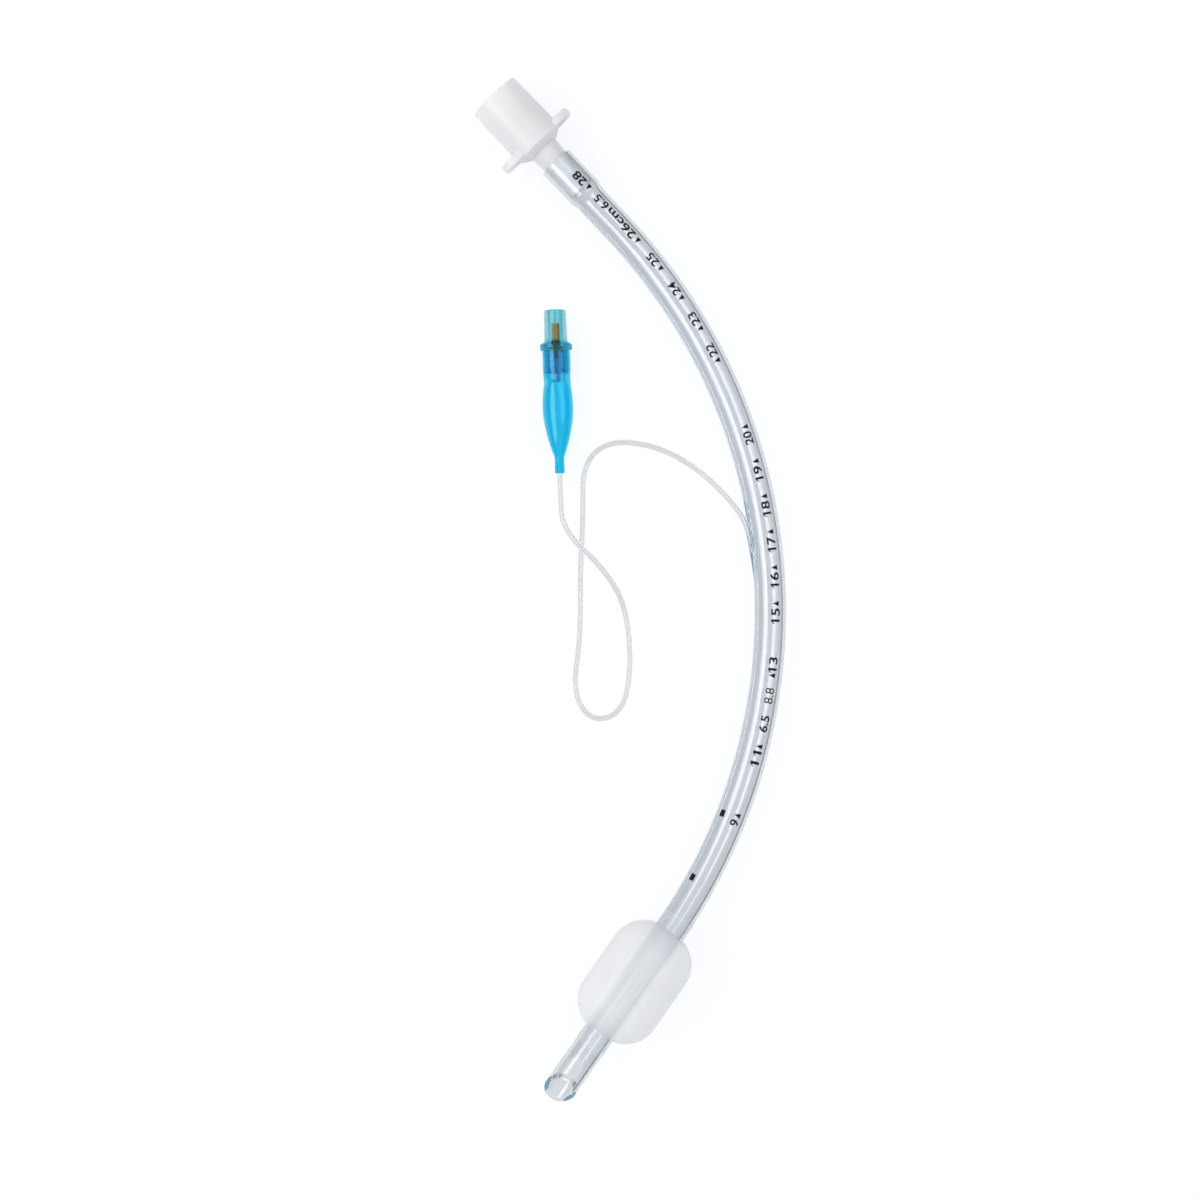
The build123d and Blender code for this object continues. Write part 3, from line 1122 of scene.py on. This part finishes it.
def nearby(tree):
    """1 for the camera and for rays that fall steeply from the tube, and less for slanting rays,
    which are long for the tube's height above that place. The less is painted shade on the surface
    as seen through the clear walls, darkest at their edges."""
    path = tree.nodes.new("ShaderNodeLightPath").outputs
    place = tree.nodes.new("ShaderNodeNewGeometry")
    lean = tree.nodes.new("ShaderNodeVectorMath")
    lean.operation = "DOT_PRODUCT"
    lean.inputs[1].default_value = (plane_up.x / plane_up.z, plane_up.y / plane_up.z, 0)
    tree.links.new(place.outputs["Position"], lean.inputs[0])
    top = (plane_origin.z + shaft_radius) * MM
    height = math_node(tree, "SUBTRACT", top, lean.outputs["Value"])
    reach = tree.nodes.new("ShaderNodeMapRange")
    reach.inputs["From Min"].default_value = steep_ray
    reach.inputs["From Max"].default_value = slanting_ray
    reach.inputs["To Min"].default_value = 1.0
    reach.inputs["To Max"].default_value = slanting_glow
    tree.links.new(math_node(tree, "DIVIDE", path["Ray Length"], height), reach.inputs["Value"])
    return math_node(tree, "MAXIMUM", reach.outputs[0], path["Is Camera Ray"])


def floor_material():
    """White surface: mostly its own white where it is seen, so that shadows stay faint."""
    made = bpy.data.materials.new("floor")
    made.use_nodes = True
    tree = made.node_tree
    tree.nodes.clear()
    diffuse = tree.nodes.new("ShaderNodeBsdfDiffuse")
    diffuse.inputs["Color"].default_value = (*floor_color, 1)
    glow = tree.nodes.new("ShaderNodeEmission")
    glow.inputs["Color"].default_value = (*glow_tint, 1)
    # Painted shade: the glow is weaker through the clear parts and fades further for slanting rays
    strength = math_node(tree, "MULTIPLY", by_ray(tree, glow_strengths), nearby(tree))
    tree.links.new(strength, glow.inputs["Strength"])
    share = by_ray(tree, glow_shares)
    surface = mixed_shader(tree, share, diffuse.outputs[0], glow.outputs[0])
    output = tree.nodes.new("ShaderNodeOutputMaterial")
    tree.links.new(surface, output.inputs["Surface"])
    return made


def make_floor():
    signs = ((-1, -1), (1, -1), (1, 1), (-1, 1))
    mesh = bpy.data.meshes.new("floor")
    mesh.from_pydata([(x * floor_half, y * floor_half, 0) for x, y in signs], [], [(0, 1, 2, 3)])
    mesh.materials.append(floor_material())
    floor = placed("floor", mesh)
    floor.location.z = -floor_drop


def make_world():
    """Pale world: white to the camera, and a softer grey towards the horizon as light."""
    world = bpy.data.worlds.new("world")
    bpy.context.scene.world = world
    world.use_nodes = True
    tree = world.node_tree
    tree.nodes.clear()
    place = tree.nodes.new("ShaderNodeTexCoord")
    split = tree.nodes.new("ShaderNodeSeparateXYZ")
    ramp = tree.nodes.new("ShaderNodeValToRGB")
    low, high = ramp.color_ramp.elements
    low.position = 0.0
    low.color = (*horizon_light, 1)
    high.position = overhead_from
    high.color = (*overhead_light, 1)
    light = tree.nodes.new("ShaderNodeBackground")
    white = tree.nodes.new("ShaderNodeBackground")
    white.inputs["Color"].default_value = (1, 1, 1, 1)
    tree.links.new(place.outputs["Generated"], split.inputs[0])
    tree.links.new(split.outputs["Z"], ramp.inputs[0])
    tree.links.new(ramp.outputs[0], light.inputs["Color"])
    seen = tree.nodes.new("ShaderNodeLightPath").outputs["Is Camera Ray"]
    surface = mixed_shader(tree, seen, light.outputs[0], white.outputs[0])
    output = tree.nodes.new("ShaderNodeOutputWorld")
    tree.links.new(surface, output.inputs["Surface"])


def area_lamp(name, tilt, turn, distance, size, power):
    """Softbox that looks at the object, with angles in degrees: tilt is from overhead, turn is
    round from +X. Its distance and size are in metres."""
    data = bpy.data.lights.new(name, "AREA")
    data.shape = "RECTANGLE"
    data.size, data.size_y = size
    data.energy = power
    lamp = placed(name, data)
    lamp.rotation_euler = Euler((0, math.radians(tilt), math.radians(turn)), "XYZ")
    lamp.location = lamp.rotation_euler.to_matrix() @ Vector((0, 0, distance))


make_floor()
make_world()
area_lamp("softbox", tilt=40, turn=185, distance=0.95, size=(0.6, 0.8), power=3.9)
area_lamp("fill", tilt=35, turn=20, distance=1.2, size=(0.9, 0.9), power=2.0)
